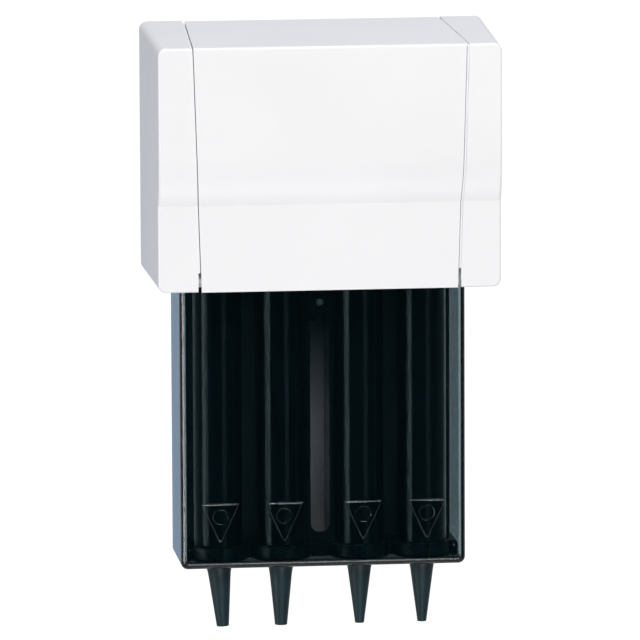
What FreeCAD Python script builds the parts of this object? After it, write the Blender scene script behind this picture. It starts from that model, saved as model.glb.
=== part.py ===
import FreeCAD, Part
import os
import Sketcher
from types import SimpleNamespace

# Wall-mounted dispenser for otoscope specula, in millimetres.
# X runs to the right, Y into the wall and Z up. Every piece is drawn with the wall face at Y = 0
# and the underside of the smoked cover at Z = 0. Its Placement then lowers it by mount_height, so
# that the finished model's origin is midway between the two upper wall screws, on the wall face.

SIZES = {
    # Shared allowances: how far a cut runs past a face, how far the cuts that shape the housing
    # run past its outside, how far an added form starts inside the one it joins, and the gap
    # between pieces that seat on each other
    "cut_overrun": 1.0,
    "form_overrun": 10.0,
    "pad_overlap": 0.5,
    "seat_gap": 0.1,
    # Mounting
    "mount_height": 208.0,
    "wall_screw_spacing": 100.0,
    "wall_screw_hole_radius": 2.25,
    # White housing and lid: one outer form
    "housing_depth": 76.0,
    "housing_half_width_front": 73.2,
    "housing_half_width_back": 74.5,
    "housing_base": 125.0,
    "front_top": 230.0,
    "back_top": 233.0,
    "front_edge_radius": 1.0,
    "inner_corner_radius": 0.8,
    "curve_top": 182.0,
    "curve_drop": 20.0,
    "lower_panel_recess": 5.0,
    "housing_corner_radius": 3.4,
    "housing_wall": 2.5,
    "cheek_wall": 2.7,
    "cheek_return": 2.6,
    "cheek_return_depth": 17.0,
    "top_return_drop": 14.0,
    "underside_front_gap": 21.2,
    # Seam between lid and cheeks: a shallow groove with a ledge for its floor, and lips under
    # the lid's edges
    "seam_inset": 15.0,
    "seam_narrowing_down": 3.2,
    "seam_narrowing_back": 3.5,
    "seam_gap": 1.2,
    "seam_depth": 0.6,
    "seam_slit": 0.35,
    "lip_thickness": 1.5,
    "lip_reach": 6.2,
    "lip_clearance": 0.35,
    "lip_foot": 133.2,
    # Lid and its hinge
    "lid_wall": 2.5,
    "lid_back_gap": 1.5,
    "hinge_inset": 16.0,
    "hinge_rise": 4.4,
    "hinge_ear_radius": 3.2,
    "hinge_ear_width": 4.0,
    "hinge_ear_side_gap": 3.4,
    "hinge_gusset_height": 13.0,
    "hinge_pin_radius": 1.1,
    "hinge_pin_clearance": 0.05,
    "hinge_pin_grip": 8.6,
    "hinge_pin_end_gap": 0.8,
    "hinge_washer_radius": 2.05,
    "hinge_washer_gap": 0.2,
    # Wall plate
    "plate_thickness": 3.0,
    "plate_side_gap": 0.2,
    "plate_top_gap": 4.0,
    "lid_rest_depth": 6.0,
    "lid_rest_thickness": 2.0,
    "lid_rest_half_width": 46.0,
    "lid_rest_gap": 0.2,
    "housing_boss_radius": 5.4,
    "housing_boss_inset": 4.9,
    "housing_boss_depth": 16.0,
    "housing_screw_low": 142.0,
    "housing_screw_rise": 72.0,
    "screw_core_radius": 1.3,
    "screw_clearance_radius": 1.7,
    "screw_head_radius": 2.9,
    "screw_head_height": 1.7,
    "screw_reach": 9.0,
    "tab_screw_reach": 4.8,
    "screw_socket_radius": 1.1,
    "screw_socket_depth": 0.9,
    "screw_point": 1.0,
    "screw_sink_clearance": 0.2,
    # Smoked cover
    "cover_half_width": 61.6,
    "cover_depth": 42.0,
    "cover_wall": 2.0,
    "cover_top": 133.0,
    "cover_edge_radius": 3.0,
    "cover_inner_radius": 1.0,
    "cover_floor_radius": 1.0,
    "cover_slot_clearance": 0.4,
    "outlet_radius": 9.8,
    # Columns
    "inner_column_offset": 17.1,
    "outer_column_offset": 44.3,
    "column_depth": 26.3,
    "tube_radius": 10.5,
    "tube_bore_radius": 9.6,
    "tube_foot_sink": 1.5,
    "tube_head_sink": 2.0,
    "tube_clearance": 0.06,
    # Black tray under the tubes
    "lobe_radius": 13.4,
    "tray_top": 8.7,
    "tray_clearance": 0.15,
    "tray_back": 12.0,
    "tray_half_width": 57.2,
    "tray_edge_radius": 1.6,
    "end_wall_front": 33.0,
    "end_wall_radius": 2.5,
    "end_wall_crown_radius": 1.2,
    "ring_seat_radius": 11.6,
    "ring_seat_height": 5.6,
    "rib_groove_width": 2.0,
    "rib_groove_depth": 1.2,
    # Retaining rings
    "ring_wall": 1.5,
    "petal_radius": 7.35,
    "petal_thickness": 1.1,
    "petal_slit": 0.8,
    "petals": 8.0,
    # Marks and locating ribs of the smoked cover
    "outer_mark_offset": 44.7,
    "mark_top": 28.7,
    "mark_height": 16.5,
    "mark_half_width": 8.35,
    "mark_relief": 0.75,
    "mark_edge_radius": 0.65,
    "mark_tip_half_width": 0.7,
    "mark_circle_radius": 3.15,
    "mark_circle_drop": 5.8,
    "mark_circle_depth": 0.55,
    "mark_circle_rim_radius": 0.35,
    "rib_top": 7.6,
    "rib_width": 1.2,
    "rib_depth": 0.9,
    "pip_radius": 1.0,
    # Spine
    "spine_half_width": 6.2,
    "spine_wall": 1.6,
    "spine_web": 2.0,
    "spine_front": 27.3,
    "slot_half_width": 4.1,
    "slot_bottom": 12.7,
    "slot_top": 105.0,
    "slit_half_width": 0.75,
    "slit_top": 113.7,
    "crossbar_rise": 2.0,
    "crossbar_thickness": 1.2,
    "crossbar_depth": 5.5,
    "stud_head_radius": 1.75,
    "stud_head_height": 1.5,
    "stud_head_crown": 0.6,
    "stud_head_edge": 1.3,
    "stud_radius": 0.7,
    "stud_boss_radius": 3.2,
    "stud_boss_depth": 20.0,
    "stud_grip": 6.0,
    # Top plate
    "top_plate_base": 181.0,
    "top_plate_thickness": 4.5,
    "top_plate_half_width": 57.6,
    "top_plate_front": 40.5,
    "top_plate_corner_radius": 5.0,
    "funnel_radius": 12.6,
    "funnel_drop": 2.2,
    "tab_height": 13.0,
    "tab_thickness": 2.2,
    "tab_half_width": 38.0,
    "tab_screw_offset": 30.7,
    "tab_screw_rise": 9.0,
    # Specula
    "tip_drop": 27.5,
    "cone_top": -6.0,
    "cone_top_radius": 4.75,
    "large_tip_radius": 2.65,
    "small_tip_radius": 1.95,
    "flare_top": 7.5,
    "flare_bend_radius": 32.0,
    "rim_top": 9.5,
    "rim_radius": 9.2,
    "speculum_wall": 0.45,
    "nest_pitch": 5.0,
    "lean_angle": 3.3,
    "lean_pivot": 5.0,
    "lean_gap": 17.0,
    "outer_left_count": 28.0,
    "inner_left_count": 33.0,
    "inner_right_count": 31.0,
    "outer_right_count": 32.0,
}


class Size:
    """A length or a count with its number and the same thing as an expression of the sheet."""

    def __init__(self, value, text):
        self.value = float(value)
        self.text = text

    def joined(self, other, sign, value):
        return Size(value, f"({self.text} {sign} {as_size(other).text})")

    def __add__(self, other):
        return self.joined(other, "+", self.value + as_size(other).value)

    def __sub__(self, other):
        return self.joined(other, "-", self.value - as_size(other).value)

    def __mul__(self, other):
        return self.joined(other, "*", self.value * as_size(other).value)

    def __truediv__(self, other):
        return self.joined(other, "/", self.value / as_size(other).value)

    def __neg__(self):
        return Size(-self.value, f"(0 - {self.text})")

    def root(self):
        return Size(self.value ** 0.5, f"sqrt({self.text})")


def as_size(value):
    return value if isinstance(value, Size) else Size(value, f"{value:.4f}")


def number(value):
    return as_size(value).value


doc = FreeCAD.newDocument("speculum_dispenser")
sheet = doc.addObject("Spreadsheet::Sheet", "sizes")
for row, (name, value) in enumerate(SIZES.items(), start=1):
    sheet.set(f"A{row}", name)
    sheet.set(f"B{row}", str(value))
    sheet.setAlias(f"B{row}", name)
doc.recompute()
d = SimpleNamespace(**{name: Size(value, f"sizes.{name}") for name, value in SIZES.items()})
pieces = []


def bind(thing, path, size):
    thing.setExpression(path, as_size(size).text)


def origin_feature(body, role):
    return [feature for feature in body.Origin.OriginFeatures if feature.Role == role][0]


def new_piece(label):
    """A body whose Placement lowers it from the height it is drawn at."""
    body = doc.addObject("PartDesign::Body", label)
    body.Label = label
    body.AllowCompound = True
    bind(body, "Placement.Base.z", -d.mount_height)
    pieces.append(body)
    return body


def finish(body):
    doc.recompute()
    return body


def place_sketch(body, name, role, offset):
    sketch = body.newObject("Sketcher::SketchObject", f"{body.Name}_{name}")
    sketch.AttachmentSupport = [(origin_feature(body, role), "")]
    sketch.MapMode = "FlatFace"
    bind(sketch, "AttachmentOffset.Base.z", offset)
    return sketch


def pin_point(sketch, edge, end, across, up):
    """Hold one sketch point at its two distances from the sketch's origin."""
    for kind, size in (("DistanceX", across), ("DistanceY", up)):
        index = sketch.addConstraint(Sketcher.Constraint(kind, -1, 1, edge, end, number(size)))
        bind(sketch, f"Constraints[{index}]", size)


def arc_between(start, end, radius):
    """The short arc from start to end. A positive radius bulges to the right of the way it runs."""
    chord = end - start
    half = chord.Length / 2
    height = (radius * radius - half * half) ** 0.5
    side = FreeCAD.Vector(chord.y, -chord.x, 0).normalize()
    bulge = side * (abs(radius) - height) * (1 if radius > 0 else -1)
    return Part.Arc(start, (start + end) / 2 + bulge, end)


def outline(body, name, role, offset, corners):
    """A closed outline. A corner is (across, up), with a third value where an arc leaves it."""
    sketch = place_sketch(body, name, role, offset)
    points = [FreeCAD.Vector(number(corner[0]), number(corner[1]), 0) for corner in corners]
    starts = []
    for index, corner in enumerate(corners):
        start = points[index]
        end = points[(index + 1) % len(points)]
        if len(corner) == 2:
            sketch.addGeometry(Part.LineSegment(start, end), False)
            starts.append(1)
            continue
        sketch.addGeometry(arc_between(start, end, number(corner[2])), False)
        starts.append(1 if sketch.getPoint(index, 1).distanceToPoint(start) < 1e-6 else 2)
    for index, corner in enumerate(corners):
        after = (index + 1) % len(corners)
        end = 3 - starts[index]
        sketch.addConstraint(Sketcher.Constraint("Coincident", index, end, after, starts[after]))
        pin_point(sketch, index, starts[index], corner[0], corner[1])
        if len(corner) == 3:
            radius = as_size(corner[2])
            radius = radius if radius.value > 0 else -radius
            held = sketch.addConstraint(Sketcher.Constraint("Radius", index, radius.value))
            bind(sketch, f"Constraints[{held}]", radius)
    if sketch.solve() != 0:
        raise RuntimeError(f"{sketch.Name} does not solve")
    return sketch


def circles(body, name, role, offset, centres, radius):
    sketch = place_sketch(body, name, role, offset)
    for index, (across, up) in enumerate(centres):
        centre = FreeCAD.Vector(number(across), number(up), 0)
        sketch.addGeometry(Part.Circle(centre, FreeCAD.Vector(0, 0, 1), number(radius)), False)
        pin_point(sketch, index, 3, across, up)
        held = sketch.addConstraint(Sketcher.Constraint("Radius", index, number(radius)))
        bind(sketch, f"Constraints[{held}]", radius)
    return sketch


def box_outline(body, name, role, offset, low, high):
    corners = [(low[0], low[1]), (high[0], low[1]), (high[0], high[1]), (low[0], high[1])]
    return outline(body, name, role, offset, corners)


def extrude(body, kind, sketch, length, reverse=False, both=False):
    feature = body.newObject(f"PartDesign::{kind}", f"{sketch.Name}_{kind.lower()}")
    feature.Profile = sketch
    bind(feature, "Length", length)
    feature.Reversed = reverse
    if both:
        feature.SideType = "Symmetric"
    doc.recompute()
    return feature


def pad(body, sketch, length, reverse=False, both=False):
    return extrude(body, "Pad", sketch, length, reverse, both)


def pocket(body, sketch, length, reverse=False, both=False):
    """Cut along the length, and stop the build if nothing was removed."""
    before = body.Shape.Volume
    feature = extrude(body, "Pocket", sketch, length, reverse, both)
    if body.Shape.Volume > before - 1e-6:
        raise RuntimeError(f"{sketch.Name} cuts nothing")
    return feature


def revolve(body, sketch):
    feature = body.newObject("PartDesign::Revolution", f"{sketch.Name}_turned")
    feature.Profile = sketch
    feature.ReferenceAxis = (sketch, ["V_Axis"])
    feature.Angle = 360
    doc.recompute()
    return feature


def round_edges(body, radius, wanted):
    """Fillet every edge of the body whose middle and direction pass the test."""
    names = []
    base = body.Tip
    for index, edge in enumerate(base.Shape.Edges, start=1):
        half_way = (edge.FirstParameter + edge.LastParameter) / 2
        if edge.Degenerated:
            continue
        if wanted(edge.valueAt(half_way), edge.tangentAt(half_way)):
            names.append(f"Edge{index}")
    if not names:
        raise RuntimeError(f"no edge to round on {body.Name}")
    feature = body.newObject("PartDesign::Fillet", f"{body.Name}_round_{len(body.Group)}")
    feature.Base = (base, names)
    bind(feature, "Radius", radius)
    doc.recompute()
    return feature


def near(value, size, tolerance=0.02):
    return abs(value - number(size)) < tolerance


# Places shared by several pieces
front = -d.housing_depth
panel_front = front + d.lower_panel_recess
curve_reach = d.lower_panel_recess * d.lower_panel_recess + d.curve_drop * d.curve_drop
curve_radius = curve_reach / (d.lower_panel_recess * 2)
top_slope = (d.back_top - d.front_top) / d.housing_depth
housing_floor = d.housing_base + d.housing_wall
passage_half = d.cover_half_width + d.cover_slot_clearance
cheek_inner_half = d.housing_half_width_front - d.cheek_wall
seam_top_half = d.housing_half_width_front - d.seam_inset
cheek_return_half = seam_top_half + d.cheek_return
lip_half = seam_top_half - d.lip_reach
boss_offset = cheek_inner_half - d.housing_boss_inset
hinge_y = front + d.hinge_inset
hinge_z = d.housing_base + d.hinge_rise
cover_front = -d.cover_depth
cavity_front = cover_front + d.cover_wall
cavity_half_width = d.cover_half_width - d.cover_wall
column_y = -d.column_depth
plate_front = -d.plate_thickness
tray_base = d.cover_wall + d.tray_clearance
tube_foot = d.tray_top - d.tube_foot_sink
tube_head = d.top_plate_base + d.tube_head_sink
top_plate_top = d.top_plate_base + d.top_plate_thickness
columns = {
    "outer_left": -d.outer_column_offset,
    "inner_left": -d.inner_column_offset,
    "inner_right": d.inner_column_offset,
    "outer_right": d.outer_column_offset,
}


def seam_half(y, z):
    """Half the lid's width at a place: it narrows downwards and towards the wall."""
    down = d.seam_narrowing_down * (d.front_top - z) / (d.front_top - d.housing_base)
    back = d.seam_narrowing_back * (as_size(y) + d.housing_depth) / d.housing_depth
    return seam_top_half - down - back


hinge_ear_face = seam_half(hinge_y, hinge_z) - d.hinge_ear_side_gap


def top_at(y):
    """Height of the sloping top face at a place."""
    return d.back_top + top_slope * as_size(y)


def housing_profile(inset, crown, back=0):
    """Side view of the housing's outer form, moved inwards, with the crown as top front radius."""
    inset = as_size(inset)
    bend = curve_radius - inset
    run = curve_radius - d.lower_panel_recess - inset
    foot = d.curve_top - (bend * bend - run * run).root()
    return [
        (as_size(back), d.housing_base),
        (panel_front + inset, d.housing_base),
        (panel_front + inset, foot, -bend),
        (front + inset, d.curve_top),
        (front + inset, d.front_top - inset - crown, -crown),
        (front + inset + crown, top_at(front + inset + crown) - inset),
        (as_size(back), top_at(back) - inset),
    ]


def run_back(profile):
    """The inner line of a band: the housing profile from its back end down to its foot."""
    return [
        profile[6],
        profile[5] + (-profile[4][2],),
        profile[4][:2],
        profile[3] + (-profile[2][2],),
        profile[2][:2],
        profile[1],
    ]


def add_band(body, name, side, outset, depth, back, foot):
    """Add a band under the outer form from the lips' inner ends into a cheek, outset to depth."""
    outer = housing_profile(outset, d.inner_corner_radius, back=back)
    inner = housing_profile(depth, d.inner_corner_radius, back=back)
    outer[1] = (outer[1][0], foot)
    inner[1] = (inner[1][0], foot)
    sketch = outline(body, name, "YZ_Plane", lip_half * side, outer[1:] + run_back(inner))
    pad(body, sketch, cheek_return_half - lip_half + d.pad_overlap, reverse=side < 0)


def seam_cut(body, name, side, gap, base, outwards):
    """Cut away one side of a seam plane, above the base: the side outwards or inwards of it."""
    roof = d.back_top + d.form_overrun
    start = d.form_overrun
    low = (seam_half(start, base) + gap) * side
    high = (seam_half(start, roof) + gap) * side
    far = (d.housing_half_width_back + d.form_overrun) * side if outwards else -d.form_overrun * side
    corners = [(far, base), (low, base), (high, roof), (far, roof)]
    sketch = outline(body, name, "XZ_Plane", -start, corners)
    feature = body.newObject("PartDesign::Pocket", f"{sketch.Name}_pocket")
    feature.Profile = sketch
    feature.UseCustomVector = True
    feature.AlongSketchNormal = True
    bind(feature, "Direction.x", d.seam_narrowing_back / d.housing_depth * side)
    bind(feature, "Direction.y", -1)
    bind(feature, "Direction.z", 0)
    bind(feature, "Length", d.housing_depth + d.form_overrun * 2)
    doc.recompute()


def housing_form(body):
    """The full outer form with sharp edges: the side profile, narrowed towards the front."""
    rounded = housing_profile(0, d.front_edge_radius)
    profile = rounded[:4] + [(front, d.front_top), rounded[6]]
    sketch = outline(body, "profile", "YZ_Plane", 0, profile)
    pad(body, sketch, (d.housing_half_width_back + d.form_overrun) * 2, both=True)
    slope = (d.housing_half_width_back - d.housing_half_width_front) / d.housing_depth
    reach = d.form_overrun
    near_half = d.housing_half_width_front - slope * reach
    far_half = d.housing_half_width_back + slope * reach
    outside = d.housing_half_width_back + reach * 2
    for side in (-1, 1):
        corners = [
            (near_half * side, front - reach),
            (outside * side, front - reach),
            (outside * side, reach),
            (far_half * side, reach),
        ]
        sketch = outline(body, f"flank_{side + 1}", "XY_Plane", 0, corners)
        pocket(body, sketch, (d.back_top + reach) * 2, both=True)


def build_housing():
    body = new_piece("housing")
    housing_form(body)
    half = number(d.housing_half_width_front)

    def side_corner(middle, way):
        along = abs(way.y) > 0.95 and abs(middle.x) > half - 1
        return along and (near(middle.z, d.housing_base) or middle.z > number(d.front_top) - 0.5)

    def front_rim(middle, way):
        if abs(way.x) > 0.99:
            return near(middle.z, d.front_top) or near(middle.z, d.housing_base) and middle.y < -1
        in_front = near(middle.y, front) or near(middle.y, panel_front)
        on_curve = abs(middle.x) > half - 1 and number(front) < middle.y < number(panel_front)
        return in_front or on_curve

    round_edges(body, d.housing_corner_radius, side_corner)
    round_edges(body, d.front_edge_radius, front_rim)

    # The lid's bay between the seams. A ledge then fills the seam up to its depth, and stops
    # short of the lid's edge by a slit.
    lip_face = d.lid_wall + d.lip_clearance
    lip_back = lip_face + d.lip_thickness
    ledge_end = plate_front - d.plate_side_gap
    for side in (-1, 1):
        seam_cut(body, f"bay_{side + 1}", side, d.seam_gap, housing_floor, outwards=False)
        name = "ledge_left" if side < 0 else "ledge_right"
        add_band(body, name, side, d.seam_depth, lip_back, ledge_end, d.lip_foot)
        seam_cut(body, f"slit_{side + 1}", side, d.seam_slit, housing_floor, outwards=False)

    # A hollow in each cheek, and the room behind the cheeks' returns, which leaves a return wall
    # along each seam at the front and the top
    hollow = housing_profile(d.housing_wall, d.inner_corner_radius, back=d.cut_overrun)
    hollow[0] = (hollow[0][0], housing_floor)
    hollow[1] = (hollow[1][0], housing_floor)
    for side in (-1, 1):
        name = "cheek_left" if side < 0 else "cheek_right"
        sketch = outline(body, name, "YZ_Plane", cheek_return_half * side, hollow)
        pocket(body, sketch, cheek_inner_half - cheek_return_half, reverse=side > 0)
    low = (-cheek_inner_half, housing_floor)
    high = (cheek_inner_half, d.front_top - d.top_return_drop)
    start = -(front + d.cheek_return_depth)
    pocket(body, box_outline(body, "behind_returns", "XZ_Plane", start, low, high), d.housing_depth)
    high = (cheek_inner_half, d.front_top - d.plate_top_gap + d.plate_side_gap)
    recess = box_outline(body, "plate_recess", "XZ_Plane", 0, low, high)
    pocket(body, recess, d.plate_thickness + d.plate_side_gap, reverse=True)

    # Underside: open in front for the lid's foot, and cut out for the smoked cover
    lip = front + d.underside_front_gap
    foot_half = seam_half(front, d.housing_base) + d.seam_gap
    start = d.housing_base - d.cut_overrun
    depth = d.housing_wall + d.cut_overrun * 2
    low = (-foot_half, front - d.form_overrun)
    foot_gap = box_outline(body, "foot_gap", "XY_Plane", start, low, (foot_half, lip))
    pocket(body, foot_gap, depth, reverse=True)
    low = (-passage_half, cover_front - d.cover_slot_clearance)
    high = (passage_half, d.cut_overrun)
    pocket(body, box_outline(body, "passage", "XY_Plane", start, low, high), depth, reverse=True)

    # Lips behind the lid's edges, along the front and over the top
    for side in (-1, 1):
        name = "lip_left" if side < 0 else "lip_right"
        add_band(body, name, side, lip_face, lip_back, -d.housing_boss_depth, d.lip_foot)

    # Bosses for the screws from the wall plate, and bores for the hinge pins
    boss_back = plate_front - d.plate_side_gap
    rows = [d.housing_screw_low, d.housing_screw_low + d.housing_screw_rise]
    centres = [(boss_offset * side, row) for side in (-1, 1) for row in rows]
    bosses = circles(body, "bosses", "XZ_Plane", -boss_back, centres, d.housing_boss_radius)
    pad(body, bosses, d.housing_boss_depth)
    pilots = circles(body, "pilots", "XZ_Plane", -boss_back, centres, d.screw_core_radius)
    pocket(body, pilots, d.screw_reach + d.cut_overrun, reverse=True)
    axis = [(hinge_y, hinge_z)]
    washer_face = hinge_ear_face + d.hinge_washer_gap
    for side in (-1, 1):
        name = "left" if side < 0 else "right"
        face = washer_face * side
        washer = circles(body, f"washer_{name}", "YZ_Plane", face, axis, d.hinge_washer_radius)
        pad(body, washer, cheek_return_half - washer_face, reverse=side < 0)
        start = (washer_face - d.cut_overrun) * side
        bore = circles(body, f"bore_{name}", "YZ_Plane", start, axis, d.hinge_pin_radius)
        pocket(body, bore, d.hinge_pin_grip + d.cut_overrun, reverse=side > 0)
    return finish(body)


def build_lid():
    body = new_piece("lid")
    outer = housing_profile(0, d.front_edge_radius, back=-d.lid_back_gap)
    inner = housing_profile(d.lid_wall, d.inner_corner_radius, back=-d.lid_back_gap)
    band = outline(body, "band", "YZ_Plane", 0, outer[1:] + run_back(inner))
    pad(body, band, d.housing_half_width_back * 2, both=True)
    for side in (-1, 1):
        start = d.housing_base - d.cut_overrun
        seam_cut(body, f"edge_{side + 1}", side, as_size(0), start, outwards=True)
    # Hinge ears: a round eye on the axis and a gusset up the inside of the panel
    panel_inside = panel_front + d.lid_wall
    for side in (-1, 1):
        name = "left" if side < 0 else "right"
        round_off = d.hinge_ear_radius
        gusset = [
            (panel_inside - d.pad_overlap, hinge_z - round_off),
            (hinge_y, hinge_z - round_off, round_off),
            (hinge_y + round_off, hinge_z, round_off),
            (hinge_y, hinge_z + round_off),
            (panel_inside, hinge_z + d.hinge_gusset_height),
            (panel_inside - d.pad_overlap, hinge_z + d.hinge_gusset_height),
        ]
        sketch = outline(body, f"ear_{name}", "YZ_Plane", hinge_ear_face * side, gusset)
        pad(body, sketch, d.hinge_ear_width, reverse=side > 0)
        axis = [(hinge_y, hinge_z)]
        radius = d.hinge_pin_radius + d.hinge_pin_clearance
        start = (hinge_ear_face + d.cut_overrun) * side
        hole = circles(body, f"eye_{name}", "YZ_Plane", start, axis, radius)
        pocket(body, hole, d.hinge_ear_width + d.cut_overrun * 2, reverse=side < 0)
    return finish(body)


def build_hinge_pin(side, name):
    body = new_piece(f"{name}_hinge_pin")
    start = hinge_ear_face - d.hinge_ear_width
    end = hinge_ear_face + d.hinge_pin_grip - d.hinge_pin_end_gap
    sketch = circles(body, "round", "YZ_Plane", start * side, [(hinge_y, hinge_z)], d.hinge_pin_radius)
    pad(body, sketch, end - start, reverse=side < 0)
    return finish(body)


def through(body, name, centres, radius):
    """Round holes through the wall plate."""
    sketch = circles(body, name, "XZ_Plane", -d.cut_overrun, centres, radius)
    pocket(body, sketch, d.plate_thickness + d.cut_overrun * 2, reverse=True)


def build_wall_plate():
    body = new_piece("wall_plate")
    upper_half = cheek_inner_half - d.plate_side_gap
    lower_half = cavity_half_width - d.plate_side_gap
    shoulder = housing_floor + d.plate_side_gap
    notch_half = passage_half + d.cover_slot_clearance
    notch_top = d.cover_top + d.cut_overrun
    top = d.front_top - d.plate_top_gap
    corner = d.cover_inner_radius
    shape = [
        (-lower_half + corner, tray_base),
        (lower_half - corner, tray_base, corner),
        (lower_half, tray_base + corner),
        (lower_half, notch_top),
        (notch_half, notch_top),
        (notch_half, shoulder),
        (upper_half, shoulder),
        (upper_half, top),
        (-upper_half, top),
        (-upper_half, shoulder),
        (-notch_half, shoulder),
        (-notch_half, notch_top),
        (-lower_half, notch_top),
        (-lower_half, tray_base + corner, corner),
    ]
    pad(body, outline(body, "face", "XZ_Plane", 0, shape), d.plate_thickness)
    # Shelf that the closed lid rests on
    rest_top = top_at(plate_front - d.lid_rest_depth) - d.lid_wall - d.lid_rest_gap
    low = (-d.lid_rest_half_width, top - d.pad_overlap)
    high = (d.lid_rest_half_width, rest_top)
    pad(body, box_outline(body, "rest_web", "XZ_Plane", 0, low, high), d.plate_thickness)
    low = (-d.lid_rest_half_width, rest_top - d.lid_rest_thickness)
    start = d.plate_thickness - d.pad_overlap
    shelf = box_outline(body, "rest_shelf", "XZ_Plane", start, low, high)
    pad(body, shelf, d.lid_rest_depth + d.pad_overlap)
    # Boss and blind bore for the stud that holds the spine
    stud = [(as_size(0), d.slit_top)]
    boss = circles(body, "stud_boss", "XZ_Plane", start, stud, d.stud_boss_radius)
    pad(body, boss, d.stud_boss_depth - start)
    bore = circles(body, "stud_bore", "XZ_Plane", d.stud_boss_depth, stud, d.stud_radius)
    pocket(body, bore, d.stud_grip)
    # Holes: wall screws, housing screws with their counterbores, and the top plate's pilots
    holes = [(d.wall_screw_spacing * side / 2, d.mount_height) for side in (-1, 1)]
    through(body, "wall_holes", holes, d.wall_screw_hole_radius)
    rows = [d.housing_screw_low, d.housing_screw_low + d.housing_screw_rise]
    corners = [(boss_offset * side, row) for side in (-1, 1) for row in rows]
    through(body, "screw_holes", corners, d.screw_clearance_radius)
    radius = d.screw_head_radius + d.screw_sink_clearance
    sinks = circles(body, "screw_sinks", "XZ_Plane", 0, corners, radius)
    pocket(body, sinks, d.screw_head_height + d.seat_gap, reverse=True)
    pilots = [(d.tab_screw_offset * side, top_plate_top + d.tab_screw_rise) for side in (-1, 1)]
    through(body, "tab_pilots", pilots, d.screw_core_radius)
    return finish(body)


def build_screws(label, head_y, way, length, across, up, columns_apart, rows_apart):
    """A group of like screws: one turned screw repeated along X and, where asked, along Z."""
    body = new_piece(label)
    head = d.screw_head_height
    reach = head + length
    profile = [
        (as_size(0), d.screw_socket_depth * way),
        (d.screw_socket_radius, d.screw_socket_depth * way),
        (d.screw_socket_radius, as_size(0)),
        (d.screw_head_radius, as_size(0)),
        (d.screw_head_radius, head * way),
        (d.screw_core_radius, head * way),
        (d.screw_core_radius, (reach - d.screw_point) * way),
        (as_size(0), reach * way),
    ]
    corners = [(across + x, head_y + y) for x, y in profile]
    sketch = outline(body, "profile", "XY_Plane", up, corners)
    turned = body.newObject("PartDesign::Revolution", f"{label}_turned")
    turned.Profile = sketch
    start = FreeCAD.Vector(number(across), number(head_y), 0)
    end = FreeCAD.Vector(number(across), number(head_y + reach * way), 0)
    line = sketch.addGeometry(Part.LineSegment(start, end), True)
    pin_point(sketch, line, 1, across, head_y)
    pin_point(sketch, line, 2, across, head_y + reach * way)
    turned.ReferenceAxis = (sketch, ["Axis0"])
    turned.Angle = 360
    doc.recompute()
    pattern = body.newObject("PartDesign::LinearPattern", f"{label}_pattern")
    pattern.Originals = [turned]
    pattern.Direction = (origin_feature(body, "X_Axis"), [""])
    bind(pattern, "Length", columns_apart)
    pattern.Occurrences = 2
    if rows_apart is not None:
        pattern.Direction2 = (origin_feature(body, "Z_Axis"), [""])
        bind(pattern, "Length2", rows_apart)
        pattern.Occurrences2 = 2
    body.Tip = pattern
    return finish(body)


def build_spine():
    body = new_piece("spine")
    half = d.spine_half_width
    web_back = -d.spine_front + d.spine_web
    leg_back = plate_front - d.seat_gap
    section = [
        (-half, -d.spine_front),
        (half, -d.spine_front),
        (half, leg_back),
        (half - d.spine_wall, leg_back),
        (half - d.spine_wall, web_back),
        (-(half - d.spine_wall), web_back),
        (-(half - d.spine_wall), leg_back),
        (-half, leg_back),
    ]
    base = d.tray_top + d.tray_clearance
    height = d.top_plate_base - d.tray_clearance - base
    pad(body, outline(body, "section", "XY_Plane", base, section), height)
    # Long slot with a round foot, and the narrow slit that runs up from it to the stud
    slot = d.slot_half_width
    centre = d.slot_bottom + slot
    slit = d.slit_half_width
    shape = [
        (-slot, centre, slot),
        (as_size(0), d.slot_bottom, slot),
        (slot, centre),
        (slot, d.slot_top),
        (slit, d.slot_top),
        (slit, d.slit_top, slit),
        (as_size(0), d.slit_top + slit, slit),
        (-slit, d.slit_top),
        (-slit, d.slot_top),
        (-slot, d.slot_top),
    ]
    opening = outline(body, "slot", "XZ_Plane", d.spine_front + d.cut_overrun, shape)
    pocket(body, opening, d.spine_web + d.cut_overrun * 2)
    low = (-half, d.slit_top + d.crossbar_rise)
    high = (half, d.slit_top + d.crossbar_rise + d.crossbar_thickness)
    bar = box_outline(body, "crossbar", "XZ_Plane", d.spine_front - d.pad_overlap, low, high)
    pad(body, bar, d.crossbar_depth + d.pad_overlap)
    return finish(body)


def build_stud():
    body = new_piece("spine_stud")
    head_back = -(d.spine_front + d.seat_gap)
    head_front = head_back - d.stud_head_height
    tip = -(d.stud_boss_depth - d.stud_grip + d.seat_gap)
    profile = [
        (as_size(0), head_front),
        (d.stud_head_edge, head_front),
        (d.stud_head_radius, head_front + d.stud_head_crown),
        (d.stud_head_radius, head_back),
        (d.stud_radius, head_back),
        (d.stud_radius, tip),
        (as_size(0), tip),
    ]
    sketch = outline(body, "profile", "XY_Plane", d.slit_top, profile)
    revolve(body, sketch)
    return finish(body)


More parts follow.
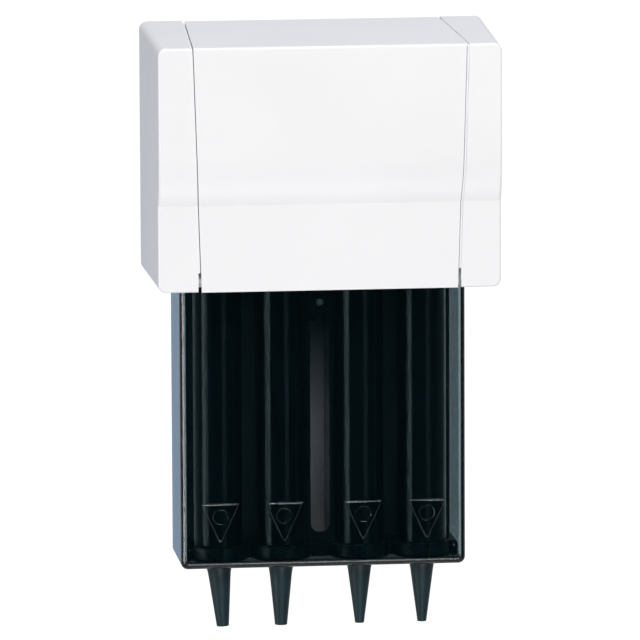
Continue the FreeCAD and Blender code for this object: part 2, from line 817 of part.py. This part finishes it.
def build_top_plate():
    body = new_piece("top_plate")
    back = plate_front - d.seat_gap
    low = (-d.top_plate_half_width, -d.top_plate_front)
    high = (d.top_plate_half_width, back)
    pad(body, box_outline(body, "plate", "XY_Plane", d.top_plate_base, low, high), d.top_plate_thickness)
    half = number(d.top_plate_half_width)

    def front_corner(middle, way):
        return abs(way.z) > 0.99 and abs(middle.x) > half - 0.1 and near(middle.y, -d.top_plate_front)

    round_edges(body, d.top_plate_corner_radius, front_corner)
    tab_back = -back
    low = (-d.tab_half_width, top_plate_top - d.pad_overlap)
    high = (d.tab_half_width, top_plate_top + d.tab_height)
    pad(body, box_outline(body, "tab", "XZ_Plane", tab_back, low, high), d.tab_thickness)
    centres = [(x, column_y) for x in columns.values()]
    start = d.top_plate_base - d.cut_overrun
    mouths = circles(body, "mouths", "XY_Plane", start, centres, d.tube_bore_radius)
    pocket(body, mouths, d.top_plate_thickness + d.cut_overrun * 2, reverse=True)
    seats = circles(body, "seats", "XY_Plane", start, centres, d.tube_radius + d.tube_clearance)
    pocket(body, seats, d.tube_head_sink + d.tube_clearance + d.cut_overrun, reverse=True)
    for name, x in columns.items():
        funnel = body.newObject("PartDesign::SubtractiveCone", f"funnel_{name}")
        bind(funnel, "Radius1", d.tube_bore_radius)
        bind(funnel, "Radius2", d.funnel_radius)
        bind(funnel, "Height", d.funnel_drop)
        bind(funnel, "AttachmentOffset.Base.x", x)
        bind(funnel, "AttachmentOffset.Base.y", column_y)
        bind(funnel, "AttachmentOffset.Base.z", top_plate_top - d.funnel_drop)
        funnel.AttachmentSupport = [(origin_feature(body, "XY_Plane"), "")]
        funnel.MapMode = "FlatFace"
        doc.recompute()
    holes = [(d.tab_screw_offset * side, top_plate_top + d.tab_screw_rise) for side in (-1, 1)]
    start = tab_back - d.cut_overrun
    sketch = circles(body, "tab_holes", "XZ_Plane", start, holes, d.screw_clearance_radius)
    pocket(body, sketch, d.tab_thickness + d.cut_overrun * 2, reverse=True)
    return finish(body)


def build_tube(name, x):
    body = new_piece(f"{name}_tube")
    foot = tube_foot + d.tube_clearance
    ring = circles(body, "outside", "XY_Plane", foot, [(x, column_y)], d.tube_radius)
    pad(body, ring, tube_head - foot)
    start = foot - d.cut_overrun
    bore = circles(body, "bore", "XY_Plane", start, [(x, column_y)], d.tube_bore_radius)
    pocket(body, bore, tube_head - foot + d.cut_overrun * 2, reverse=True)
    return finish(body)


def build_tray():
    body = new_piece("base_tray")
    height = d.tray_top - tray_base
    low = (-d.tray_half_width, column_y)
    high = (d.tray_half_width, -d.tray_back)
    pad(body, box_outline(body, "bar", "XY_Plane", tray_base, low, high), height)
    round_off = d.tray_edge_radius
    half_lobe = [
        (as_size(0), tray_base),
        (d.lobe_radius - round_off, tray_base, round_off),
        (d.lobe_radius, tray_base + round_off),
        (d.lobe_radius, d.tray_top),
        (as_size(0), d.tray_top),
    ]
    for name, x in columns.items():
        sketch = outline(body, f"lobe_{name}", "XZ_Plane", d.column_depth, half_lobe)
        bind(sketch, "AttachmentOffset.Base.x", x)
        revolve(body, sketch)
    wall_outside = cavity_half_width - d.plate_side_gap
    for side in (-1, 1):
        name = "left" if side < 0 else "right"
        shape = [
            (-d.end_wall_front, tray_base),
            (-d.tray_back, tray_base),
            (-d.tray_back, d.tray_top),
            (-d.end_wall_front + d.end_wall_radius, d.tray_top, d.end_wall_radius),
            (-d.end_wall_front, d.tray_top - d.end_wall_radius),
        ]
        start = d.tray_half_width - d.pad_overlap
        sketch = outline(body, f"end_{name}", "YZ_Plane", start * side, shape)
        pad(body, sketch, wall_outside - start, reverse=side < 0)
    outside = number(wall_outside)

    def end_foot(middle, way):
        return abs(way.y) > 0.99 and near(abs(middle.x), outside) and near(middle.z, tray_base)

    round_edges(body, round_off, end_foot)

    def end_crown(middle, way):
        return abs(way.y) > 0.99 and near(abs(middle.x), outside) and near(middle.z, d.tray_top)

    round_edges(body, d.end_wall_crown_radius, end_crown)
    centres = [(x, column_y) for x in columns.values()]
    sockets = circles(body, "sockets", "XY_Plane", tube_foot, centres, d.tube_radius + d.tube_clearance)
    pocket(body, sockets, d.tube_foot_sink + d.cut_overrun, reverse=True)
    start = tray_base - d.cut_overrun
    throat_radius = d.tube_bore_radius + d.seat_gap
    throats = circles(body, "throats", "XY_Plane", start, centres, throat_radius)
    pocket(body, throats, height + d.cut_overrun * 2, reverse=True)
    seats = circles(body, "ring_seats", "XY_Plane", start, centres, d.ring_seat_radius)
    pocket(body, seats, d.ring_seat_height - start, reverse=True)
    for side in (-1, 1):
        name = "left" if side < 0 else "right"
        middle = d.outer_mark_offset * side
        half = d.rib_groove_width / 2
        low = (middle - half, column_y - d.lobe_radius - d.cut_overrun)
        high = (middle + half, column_y - d.lobe_radius + d.rib_groove_depth)
        groove = box_outline(body, f"groove_{name}", "XY_Plane", start, low, high)
        pocket(body, groove, height + d.cut_overrun * 2, reverse=True)
    return finish(body)


def build_ring(name, x):
    body = new_piece(f"{name}_ring")
    top = d.ring_seat_height - d.seat_gap
    outside = d.ring_seat_radius - d.seat_gap
    inside = outside - d.ring_wall
    centre = [(x, column_y)]
    pad(body, circles(body, "outside", "XY_Plane", tray_base, centre, outside), top - tray_base)
    well = circles(body, "well", "XY_Plane", tray_base + d.petal_thickness, centre, inside)
    pocket(body, well, top - tray_base, reverse=True)
    start = tray_base - d.cut_overrun
    depth = d.petal_thickness + d.cut_overrun * 2
    pocket(body, circles(body, "eye", "XY_Plane", start, centre, d.petal_radius), depth, reverse=True)
    half = d.petal_slit / 2
    low = (d.petal_radius - d.cut_overrun, -half)
    sketch = box_outline(body, "slit", "XY_Plane", start, low, (inside, half))
    bind(sketch, "AttachmentOffset.Base.x", x)
    bind(sketch, "AttachmentOffset.Base.y", column_y)
    slit = pocket(body, sketch, depth, reverse=True)
    pattern = body.newObject("PartDesign::PolarPattern", f"{name}_slits")
    pattern.Originals = [slit]
    pattern.Axis = (sketch, ["N_Axis"])
    pattern.Angle = 360
    bind(pattern, "Occurrences", d.petals)
    body.Tip = pattern
    return finish(body)


def build_cover():
    body = new_piece("smoked_cover")
    low = (-d.cover_half_width, cover_front)
    high = (d.cover_half_width, as_size(0))
    pad(body, box_outline(body, "outside", "XY_Plane", 0, low, high), d.cover_top)
    half = number(d.cover_half_width)

    def outer_edge(middle, way):
        upright = abs(way.z) > 0.99 and near(middle.y, cover_front)
        base = near(middle.z, 0) and (near(middle.y, cover_front) or abs(middle.x) > half - 0.1)
        return upright or base

    round_edges(body, d.cover_edge_radius, outer_edge)
    corner = d.cover_inner_radius
    inside = [
        (-cavity_half_width, cavity_front + corner, corner),
        (-cavity_half_width + corner, cavity_front),
        (cavity_half_width - corner, cavity_front, corner),
        (cavity_half_width, cavity_front + corner),
        (cavity_half_width, d.cut_overrun),
        (-cavity_half_width, d.cut_overrun),
    ]
    pocket(body, outline(body, "cavity", "XY_Plane", d.cover_wall, inside), d.cover_top, reverse=True)

    def floor_edge(middle, way):
        return near(middle.z, d.cover_wall) and near(middle.y, cavity_front)

    round_edges(body, d.cover_floor_radius, floor_edge)
    centres = [(x, column_y) for x in columns.values()]
    outlets = circles(body, "outlets", "XY_Plane", -d.cut_overrun, centres, d.outlet_radius)
    pocket(body, outlets, d.cover_wall + d.cut_overrun * 2, reverse=True)
    # Raised triangles, point down, with soft edges and a round dimple in each
    marks = {
        "outer_left": -d.outer_mark_offset,
        "inner_left": -d.inner_column_offset,
        "inner_right": d.inner_column_offset,
        "outer_right": d.outer_mark_offset,
    }
    tip = d.mark_top - d.mark_height
    face = d.cover_depth + d.mark_relief
    for name, x in marks.items():
        shape = [
            (x - d.mark_half_width, d.mark_top),
            (x - d.mark_tip_half_width, tip),
            (x + d.mark_tip_half_width, tip),
            (x + d.mark_half_width, d.mark_top),
        ]
        start = d.cover_depth - d.pad_overlap
        pad(body, outline(body, f"mark_{name}", "XZ_Plane", start, shape), face - start)

    def mark_edge(middle, way):
        return near(middle.y, -face)

    round_edges(body, d.mark_edge_radius, mark_edge)
    for name, x in marks.items():
        dimple = [(x, d.mark_top - d.mark_circle_drop)]
        start = face + d.cut_overrun
        sketch = circles(body, f"dimple_{name}", "XZ_Plane", start, dimple, d.mark_circle_radius)
        pocket(body, sketch, d.mark_circle_depth + d.cut_overrun)

    def dimple_rim(middle, way):
        return near(middle.y, -face) and near(middle.z, d.mark_top - d.mark_circle_drop)

    round_edges(body, d.mark_circle_rim_radius, dimple_rim)
    # Upright ribs with a round pip, which key into the tray's two outer lobes
    start = -cavity_front - d.rib_depth
    depth = d.rib_depth + d.pad_overlap
    half = d.rib_width / 2
    for name in ("outer_left", "outer_right"):
        x = marks[name]
        low = (x - half, d.cover_wall - d.pad_overlap)
        high = (x + half, d.rib_top)
        pad(body, box_outline(body, f"rib_{name}", "XZ_Plane", start, low, high), depth)
        pip = circles(body, f"pip_{name}", "XZ_Plane", start, [(x, d.rib_top)], d.pip_radius)
        pad(body, pip, depth)
    return finish(body)


def speculum_profile(tip_radius):
    """Half section of a hollow cone that flares into a rim. Its wall is even along the radius."""
    wall = d.speculum_wall
    base = -d.tip_drop
    bend = d.flare_bend_radius
    return [
        (tip_radius, base),
        (d.cone_top_radius, d.cone_top, -bend),
        (d.rim_radius, d.flare_top),
        (d.rim_radius, d.rim_top),
        (d.rim_radius - wall, d.rim_top),
        (d.rim_radius - wall, d.flare_top, bend),
        (d.cone_top_radius - wall, d.cone_top),
        (tip_radius - wall, base),
    ]


def build_speculum(name, x, tip_radius, lean):
    """The lowest speculum of a column. The leaning one is turned about its pivot height."""
    body = new_piece(f"{name}_speculum")
    rise = d.lean_pivot if lean else as_size(0)
    corners = []
    for corner in speculum_profile(tip_radius):
        corners.append((corner[0], corner[1] - rise) + corner[2:])
    sketch = outline(body, "profile", "XZ_Plane", 0, corners)
    revolve(body, sketch)
    bind(body, "Placement.Base.x", x)
    bind(body, "Placement.Base.y", column_y)
    bind(body, "Placement.Base.z", rise - d.mount_height)
    if lean:
        body.Placement.Rotation = FreeCAD.Rotation(FreeCAD.Vector(0, -1, 0), number(lean))
        bind(body, "Placement.Rotation.Angle", lean)
    return finish(body)


def build_stack(name, x, tip_radius, first_gap, count):
    """The nested specula above the lowest one, each one pitch above the last."""
    body = new_piece(f"{name}_stack")
    corners = []
    for corner in speculum_profile(tip_radius):
        corners.append((corner[0], corner[1] + first_gap) + corner[2:])
    sketch = outline(body, "profile", "XZ_Plane", 0, corners)
    turned = revolve(body, sketch)
    pattern = body.newObject("PartDesign::LinearPattern", f"{name}_nest")
    pattern.Originals = [turned]
    pattern.Direction = (origin_feature(body, "Z_Axis"), [""])
    bind(pattern, "Length", d.nest_pitch * (count - 1))
    bind(pattern, "Occurrences", count)
    body.Tip = pattern
    bind(body, "Placement.Base.x", x)
    bind(body, "Placement.Base.y", column_y)
    return finish(body)


build_wall_plate()
build_housing()
build_lid()
build_hinge_pin(-1, "left")
build_hinge_pin(1, "right")
build_screws("housing_screws", as_size(0), -1, d.screw_reach, -boss_offset, d.housing_screw_low,
             boss_offset * 2, d.housing_screw_rise)
build_spine()
build_stud()
build_top_plate()
tab_face = plate_front - d.seat_gap - d.tab_thickness
build_screws("top_plate_screws", tab_face - d.seat_gap - d.screw_head_height, 1, d.tab_screw_reach,
             -d.tab_screw_offset, top_plate_top + d.tab_screw_rise, d.tab_screw_offset * 2, None)
build_tray()
build_cover()
loads = {
    "outer_left": (d.large_tip_radius, d.lean_angle, d.lean_gap, d.outer_left_count),
    "inner_left": (d.large_tip_radius, None, d.nest_pitch, d.inner_left_count),
    "inner_right": (d.small_tip_radius, None, d.nest_pitch, d.inner_right_count),
    "outer_right": (d.small_tip_radius, None, d.nest_pitch, d.outer_right_count),
}
for name, x in columns.items():
    tip_radius, lean, first_gap, count = loads[name]
    build_tube(name, x)
    build_ring(name, x)
    build_speculum(name, x, tip_radius, lean)
    build_stack(name, x, tip_radius, first_gap, count)

doc.recompute()
for thing in doc.Objects:
    if "Invalid" in thing.State or "Error" in thing.State:
        raise RuntimeError(f"{thing.Label} failed: {thing.State}")
for body in pieces:
    if body.Shape.isNull() or not body.Shape.isValid():
        raise RuntimeError(f"{body.Label} has no valid shape")

os.makedirs("parts", exist_ok=True)
for body in pieces:
    body.Shape.exportStep(os.path.join("parts", f"{body.Label}.step"))
    box = body.Shape.BoundBox
    print(f"{body.Label:22s} {len(body.Shape.Solids):3d} {body.Shape.Volume:10.1f} mm3 "
          f"x {box.XMin:.1f} {box.XMax:.1f} y {box.YMin:.1f} {box.YMax:.1f} "
          f"z {box.ZMin:.1f} {box.ZMax:.1f}")
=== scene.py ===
import math

import bpy
from mathutils import Matrix, Vector

# The looks of a wall-mounted dispenser for otoscope specula. Lengths are in metres, with the
# origin midway between the upper wall screws, X to the right, Y into the wall and Z up.

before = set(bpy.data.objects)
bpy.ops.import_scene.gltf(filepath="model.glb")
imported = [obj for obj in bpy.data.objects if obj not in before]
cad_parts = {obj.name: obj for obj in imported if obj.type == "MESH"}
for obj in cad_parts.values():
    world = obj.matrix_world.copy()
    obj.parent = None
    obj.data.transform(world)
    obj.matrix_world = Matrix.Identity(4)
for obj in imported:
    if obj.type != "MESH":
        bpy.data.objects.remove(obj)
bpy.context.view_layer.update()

COLUMNS = ("outer_left", "inner_left", "inner_right", "outer_right")
NOISE_LOW, NOISE_HIGH = 0.3, 0.7   # most of a noise texture's values lie between these
WHITE = [1.0, 1.0, 1.0, 1.0]


def linear(hex_colour):
    """An sRGB hex value as linear red, green, blue and a full alpha."""
    channels = [int(hex_colour[index:index + 2], 16) / 255 for index in (0, 2, 4)]
    return [c / 12.92 if c <= 0.04045 else ((c + 0.055) / 1.055) ** 2.4 for c in channels] + [1.0]


def per_metre(millimetres):
    """How many features of this size fit in one metre, which is a texture's scale."""
    return 1000 / millimetres


def add(tree, kind, inputs=None, **settings):
    """A new node with its fields set. An input that is a socket is linked, and a value is set."""
    node = tree.nodes.new(kind)
    for name, value in settings.items():
        setattr(node, name, value)
    for name, value in (inputs or {}).items():
        if isinstance(value, bpy.types.NodeSocket):
            tree.links.new(value, node.inputs[name])
        else:
            node.inputs[name].default_value = value
    return node


def blank_material(name):
    """A new material with an empty node tree."""
    material = bpy.data.materials.new(name)
    material.use_nodes = True
    material.node_tree.nodes.clear()
    return material, material.node_tree


def place_on_object(tree):
    """The point on the object that is being shaded."""
    return add(tree, "ShaderNodeTexCoord").outputs["Object"]


def noise(tree, place, size_mm, detail):
    """Cloudy noise from 0 to 1 with features of this size."""
    return add(tree, "ShaderNodeTexNoise", {
        "Vector": place, "Scale": per_metre(size_mm), "Detail": detail,
    }).outputs["Fac"]


def fade(tree, value, start, end, low, high, smooth=False):
    """Turns a value that runs from start to end into one that runs from low to high."""
    return add(tree, "ShaderNodeMapRange", {
        "Value": value, "From Min": start, "From Max": end, "To Min": low, "To Max": high,
    }, interpolation_type="SMOOTHSTEP" if smooth else "LINEAR").outputs["Result"]


def combine(tree, operation, first, second):
    """Two values added, multiplied, or the larger of them."""
    return add(tree, "ShaderNodeMath", {0: first, 1: second}, operation=operation).outputs["Value"]


def ramp(tree, value, *stops):
    """Colours that follow a value. Each stop is a value and its colour, in rising order."""
    node = add(tree, "ShaderNodeValToRGB", {"Fac": value})
    elements = node.color_ramp.elements
    while len(elements) < len(stops):
        elements.new(1.0)
    for element, (position, colour) in zip(elements, stops):
        element.position = position
        element.color = colour
    return node.outputs["Color"]


def relief(tree, height, depth_mm):
    """A height in relief, this deep from its lowest to its highest."""
    return add(tree, "ShaderNodeBump", {
        "Height": height, "Distance": depth_mm / 1000, "Strength": 1.0,
    }).outputs["Normal"]


def moulded_plastic(name, light, dark, roughness, grain_mm, grain_depth_mm, patch_mm,
                    specular=0.5, inlay=None):
    """Injection-moulded plastic: two near shades in soft patches, a fine mould grain in relief,
    and a gloss that varies a little with the grain. An inlay lays a second colour over them."""
    gloss_spread = 0.15
    material, tree = blank_material(name)
    place = place_on_object(tree)
    patches = noise(tree, place, patch_mm, 3.0)
    colour = ramp(tree, patches, (NOISE_LOW, linear(dark)), (NOISE_HIGH, linear(light)))
    if inlay:
        colour = inlay(tree, place, colour)
    grain = noise(tree, place, grain_mm, 2.0)
    smoothest, roughest = roughness * (1 - gloss_spread), roughness * (1 + gloss_spread)
    surface = add(tree, "ShaderNodeBsdfPrincipled", {
        "Base Color": colour,
        "Roughness": fade(tree, grain, NOISE_LOW, NOISE_HIGH, smoothest, roughest),
        "Normal": relief(tree, grain, grain_depth_mm),
        "IOR": 1.5,
        "Specular IOR Level": specular,
    })
    add(tree, "ShaderNodeOutputMaterial", {"Surface": surface.outputs["BSDF"]})
    return material


def slot_strip_and_painted_shadow(tree, place, ground):
    """A pale strip, 9 mm wide, on the plate's front face behind the spine's slot, in the plate's own
    warm light grey, which the cover dulls to mauve. Over its top 46 mm it fades out into the dark plate:
    a painted shadow under the housing's overhang."""
    inner_half, outer_half = 0.0044, 0.0047
    front_face, behind_face = -0.0029, -0.0027
    painted_shadow_foot, painted_shadow_top = -0.15, -0.104
    parts = add(tree, "ShaderNodeSeparateXYZ", {"Vector": place}).outputs
    off_middle = add(tree, "ShaderNodeMath", {0: parts["X"]}, operation="ABSOLUTE")
    across = fade(tree, off_middle.outputs["Value"], inner_half, outer_half, 1.0, 0.0)
    in_front = fade(tree, parts["Y"], front_face, behind_face, 1.0, 0.0)
    # Painted shadow: the strip fades out upwards, darkening its top as under the housing
    low = fade(tree, parts["Z"], painted_shadow_foot, painted_shadow_top, 1.0, 0.0)
    strip = combine(tree, "MULTIPLY", combine(tree, "MULTIPLY", across, in_front), low)
    return add(tree, "ShaderNodeMixRGB", {
        "Fac": strip, "Color1": ground, "Color2": linear("FCE0E6"),
    }).outputs["Color"]


def smoked_acrylic():
    """Clear acrylic with a smoke tint through its thickness, polished. It darkens what lies behind by
    its depth of colour, so its edges, seen along the wall, look darkest. The floor, its lowest 3 mm, has
    a darker colour painted on, which is painted shade along the cover's bottom edge."""
    floor_top, wall_foot = -0.2048, -0.2044
    floor_painted_shade = 0.2
    waviness_mm, waviness_depth_mm = 60, 0.06
    material, tree = blank_material("smoked_acrylic")
    place = place_on_object(tree)
    height = add(tree, "ShaderNodeSeparateXYZ", {"Vector": place}).outputs["Z"]
    surface = add(tree, "ShaderNodeBsdfPrincipled", {
        # Painted shade: the floor passes only a fifth of the light, darkening the cover's bottom edge
        "Base Color": fade(tree, height, floor_top, wall_foot, floor_painted_shade, 1.0),
        "Roughness": 0.0,
        "IOR": 1.49,
        "Transmission Weight": 1.0,
        "Normal": relief(tree, noise(tree, place, waviness_mm, 1.0), waviness_depth_mm),
    })
    tint = add(tree, "ShaderNodeVolumeAbsorption", {
        "Color": [0.24, 0.42, 0.46, 1.0], "Density": 430.0,
    })
    add(tree, "ShaderNodeOutputMaterial", {
        "Surface": surface.outputs["BSDF"], "Volume": tint.outputs["Volume"],
    })
    return material


def plated_steel():
    """Zinc-plated steel: a grey metal whose gloss is broken up by fine turned marks."""
    marks_mm = 0.5
    smoothest, roughest = 0.22, 0.4
    material, tree = blank_material("zinc_plated_steel")
    marks = noise(tree, place_on_object(tree), marks_mm, 2.0)
    surface = add(tree, "ShaderNodeBsdfPrincipled", {
        "Base Color": linear("C9CBCE"),
        "Metallic": 1.0,
        "Roughness": fade(tree, marks, NOISE_LOW, NOISE_HIGH, smoothest, roughest),
    })
    add(tree, "ShaderNodeOutputMaterial", {"Surface": surface.outputs["BSDF"]})
    return material


# White ABS from a lightly textured mould: bright and even, with a soft sheen. The grain is drawn at
# 0.9 mm, coarser than the real 0.2 mm, so that it shows
white_abs = moulded_plastic(
    "moulded_white_abs", light="F4F4F6", dark="F0F0F2",
    roughness=0.34, grain_mm=0.9, grain_depth_mm=0.012, patch_mm=60,
)
# Dark grey ABS plate with a matte mould face: its dark colour is painted shade that keeps the gaps
# between the tubes black, and the pale strip behind the slot is the plate's own light grey
plate_abs_painted_shade = moulded_plastic(
    "moulded_plate_abs_painted_shade", light="2C4044", dark="263A3E",
    roughness=0.55, grain_mm=0.8, grain_depth_mm=0.02, patch_mm=25, inlay=slot_strip_and_painted_shadow,
)
# Black polystyrene, polished: deep black with clear reflections
black_polystyrene = moulded_plastic(
    "polished_black_polystyrene", light="0C1D22", dark="08171B",
    roughness=0.16, grain_mm=1.2, grain_depth_mm=0.004, patch_mm=30,
)
# Dark extruded acrylic tube: almost black, with one clean highlight and a faint waviness
dark_tube = moulded_plastic(
    "extruded_dark_acrylic", light="051A20", dark="03151A",
    roughness=0.10, grain_mm=6.0, grain_depth_mm=0.003, patch_mm=40, specular=0.22,
)
# Black ABS tray, semi-gloss, with a fine moulded grain
black_abs = moulded_plastic(
    "moulded_black_abs", light="08262C", dark="051E24",
    roughness=0.28, grain_mm=0.7, grain_depth_mm=0.002, patch_mm=20, specular=0.2,
)
# Black thermoplastic elastomer: soft and dull, so the rings show as dark collars
elastomer = moulded_plastic(
    "black_elastomer", light="141F22", dark="0F191B",
    roughness=0.7, grain_mm=0.6, grain_depth_mm=0.02, patch_mm=10, specular=0.3,
)
# Black polypropylene specula: a waxy, finely matte surface with one broad soft highlight
polypropylene = moulded_plastic(
    "matte_black_polypropylene", light="0B2A31", dark="082228",
    roughness=0.42, grain_mm=0.5, grain_depth_mm=0.01, patch_mm=12, specular=0.4,
)
steel = plated_steel()
acrylic = smoked_acrylic()

finishes = {
    "wall_plate": plate_abs_painted_shade,
    "housing": white_abs,
    "lid": white_abs,
    "left_hinge_pin": steel,
    "right_hinge_pin": steel,
    "housing_screws": steel,
    "spine": black_polystyrene,
    "spine_stud": steel,
    "top_plate": black_polystyrene,
    "top_plate_screws": steel,
    "base_tray": black_abs,
    "smoked_cover": acrylic,
}
for column in COLUMNS:
    finishes[f"{column}_tube"] = dark_tube
    finishes[f"{column}_ring"] = elastomer
    finishes[f"{column}_speculum"] = polypropylene
    finishes[f"{column}_stack"] = polypropylene
for name, material in finishes.items():
    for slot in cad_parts[name].material_slots:
        slot.material = material


def direction(azimuth, elevation):
    """Unit vector from the object towards a place: azimuth 0 is in front, positive to its right."""
    a, e = math.radians(azimuth), math.radians(elevation)
    return Vector((math.sin(a) * math.cos(e), -math.cos(a) * math.cos(e), math.sin(e)))


def place_camera():
    """The photograph's view: a long lens, a little left of and above the object's middle."""
    azimuth, elevation, roll = -6.25, 8.69, math.radians(-0.26)
    target = Vector((-0.00081, -0.038, -0.10086))
    away = 3.5
    back = direction(azimuth, elevation)
    right = Vector((math.cos(math.radians(azimuth)), math.sin(math.radians(azimuth)), 0))
    up = back.cross(right)
    turned_right = right * math.cos(roll) + up * math.sin(roll)
    turned_up = up * math.cos(roll) - right * math.sin(roll)
    data = bpy.data.cameras.new("camera")
    data.sensor_width = 36
    data.lens = 458.5
    data.clip_start = 0.05
    data.clip_end = 60
    camera = bpy.data.objects.new("camera", data)
    bpy.context.scene.collection.objects.link(camera)
    spin = Matrix((turned_right, turned_up, back)).transposed().to_4x4()
    camera.matrix_world = Matrix.Translation(target + back * away) @ spin
    bpy.context.scene.camera = camera


def soft_light(name, azimuth, elevation, away, width, height, watts, colour=(1, 1, 1)):
    """A rectangular softbox that faces the object's middle."""
    middle = Vector((0, -0.04, -0.09))
    data = bpy.data.lights.new(name, "AREA")
    data.shape = "RECTANGLE"
    data.size = width
    data.size_y = height
    data.energy = watts
    data.color = colour
    light = bpy.data.objects.new(name, data)
    bpy.context.scene.collection.objects.link(light)
    back = direction(azimuth, elevation)
    light.location = middle + back * away
    light.rotation_mode = "QUATERNION"
    light.rotation_quaternion = (-back).to_track_quat("-Z", "Y")


def light_scene():
    """Softboxes where the photograph shows them: the left one draws the line down the cover's left
    edge and the tubes' highlights, the right one the right edge's line, the low one the bottom's."""
    soft_light("front_light", azimuth=10, elevation=31, away=2.4,
               width=1.2, height=0.9, watts=42.3, colour=(1.0, 0.93, 0.886))
    soft_light("left_light", azimuth=-68, elevation=-8, away=1.7,
               width=0.85, height=0.5, watts=9.3, colour=(1.0, 0.93, 0.915))
    soft_light("right_light", azimuth=26, elevation=-9, away=2.2,
               width=0.8, height=0.5, watts=1.2, colour=(0.97, 0.99, 1.0))
    soft_light("low_light", azimuth=5, elevation=-42, away=1.5,
               width=0.6, height=0.5, watts=3.6, colour=(0.95, 0.98, 1.0))
    soft_light("top_light", azimuth=0, elevation=85, away=1.8,
               width=1.4, height=1.4, watts=8.9)


def studio_glow(tree, towards):
    """What the object reflects: pale behind it and above it, and dark and bluish in front, as a
    studio behind the camera is. Straight behind it there is a blue cast, seen in the cover's side."""
    dark_front, pale_behind = 0.045, 0.43
    pale_above = 0.17
    neutral = [1.0, 0.965, 1.0, 1.0]
    behind = fade(tree, towards["Y"], -0.5, 0.35, dark_front, pale_behind, smooth=True)
    above = fade(tree, towards["Z"], 0.15, 0.8, 0.0, pale_above, smooth=True)
    glow = combine(tree, "ADD", behind, above)
    front_to_back = fade(tree, towards["Y"], -1.0, 1.0, 0.0, 1.0)
    tint = ramp(
        tree, front_to_back,
        (0.3, [0.35, 0.95, 1.2, 1.0]), (0.45, neutral), (0.95, neutral), (0.9875, [0.69, 0.9, 1.2, 1.0]),
    )
    return add(tree, "ShaderNodeBackground", {"Color": tint, "Strength": glow}).outputs["Background"]


def surround():
    """A white backdrop for the camera, straight or through the clear cover, and the studio's glow
    for everything else."""
    world = bpy.data.worlds.new("studio")
    bpy.context.scene.world = world
    world.use_nodes = True
    tree = world.node_tree
    tree.nodes.clear()
    ray = add(tree, "ShaderNodeTexCoord").outputs["Generated"]
    towards = add(tree, "ShaderNodeSeparateXYZ", {"Vector": ray}).outputs
    around = studio_glow(tree, towards)
    backdrop = add(tree, "ShaderNodeBackground", {"Color": WHITE, "Strength": 1.05})
    path = add(tree, "ShaderNodeLightPath").outputs
    beyond = fade(tree, towards["Y"], 0.3, 0.8, 0.0, 1.0, smooth=True)
    through = combine(tree, "MULTIPLY", path["Is Transmission Ray"], beyond)
    seen = combine(tree, "MAXIMUM", path["Is Camera Ray"], through)
    both = add(tree, "ShaderNodeMixShader", {0: seen, 1: around, 2: backdrop.outputs["Background"]})
    add(tree, "ShaderNodeOutputWorld", {"Surface": both.outputs["Shader"]})


def lay_floor():
    """A plain pale floor well below the wall-mounted object."""
    height, radius, sides = -1.9, 4.8, 96
    material, tree = blank_material("pale_floor_paint")
    surface = add(tree, "ShaderNodeBsdfPrincipled", {
        "Base Color": linear("F2F2F2"), "Roughness": 0.8,
    })
    add(tree, "ShaderNodeOutputMaterial", {"Surface": surface.outputs["BSDF"]})
    bpy.ops.mesh.primitive_circle_add(
        vertices=sides, radius=radius, fill_type="NGON", location=(0, 0, height),
    )
    floor = bpy.context.object
    floor.name = "floor"
    floor.data.materials.append(material)


place_camera()
light_scene()
surround()
lay_floor()
bpy.context.scene.view_settings.view_transform = "Standard"
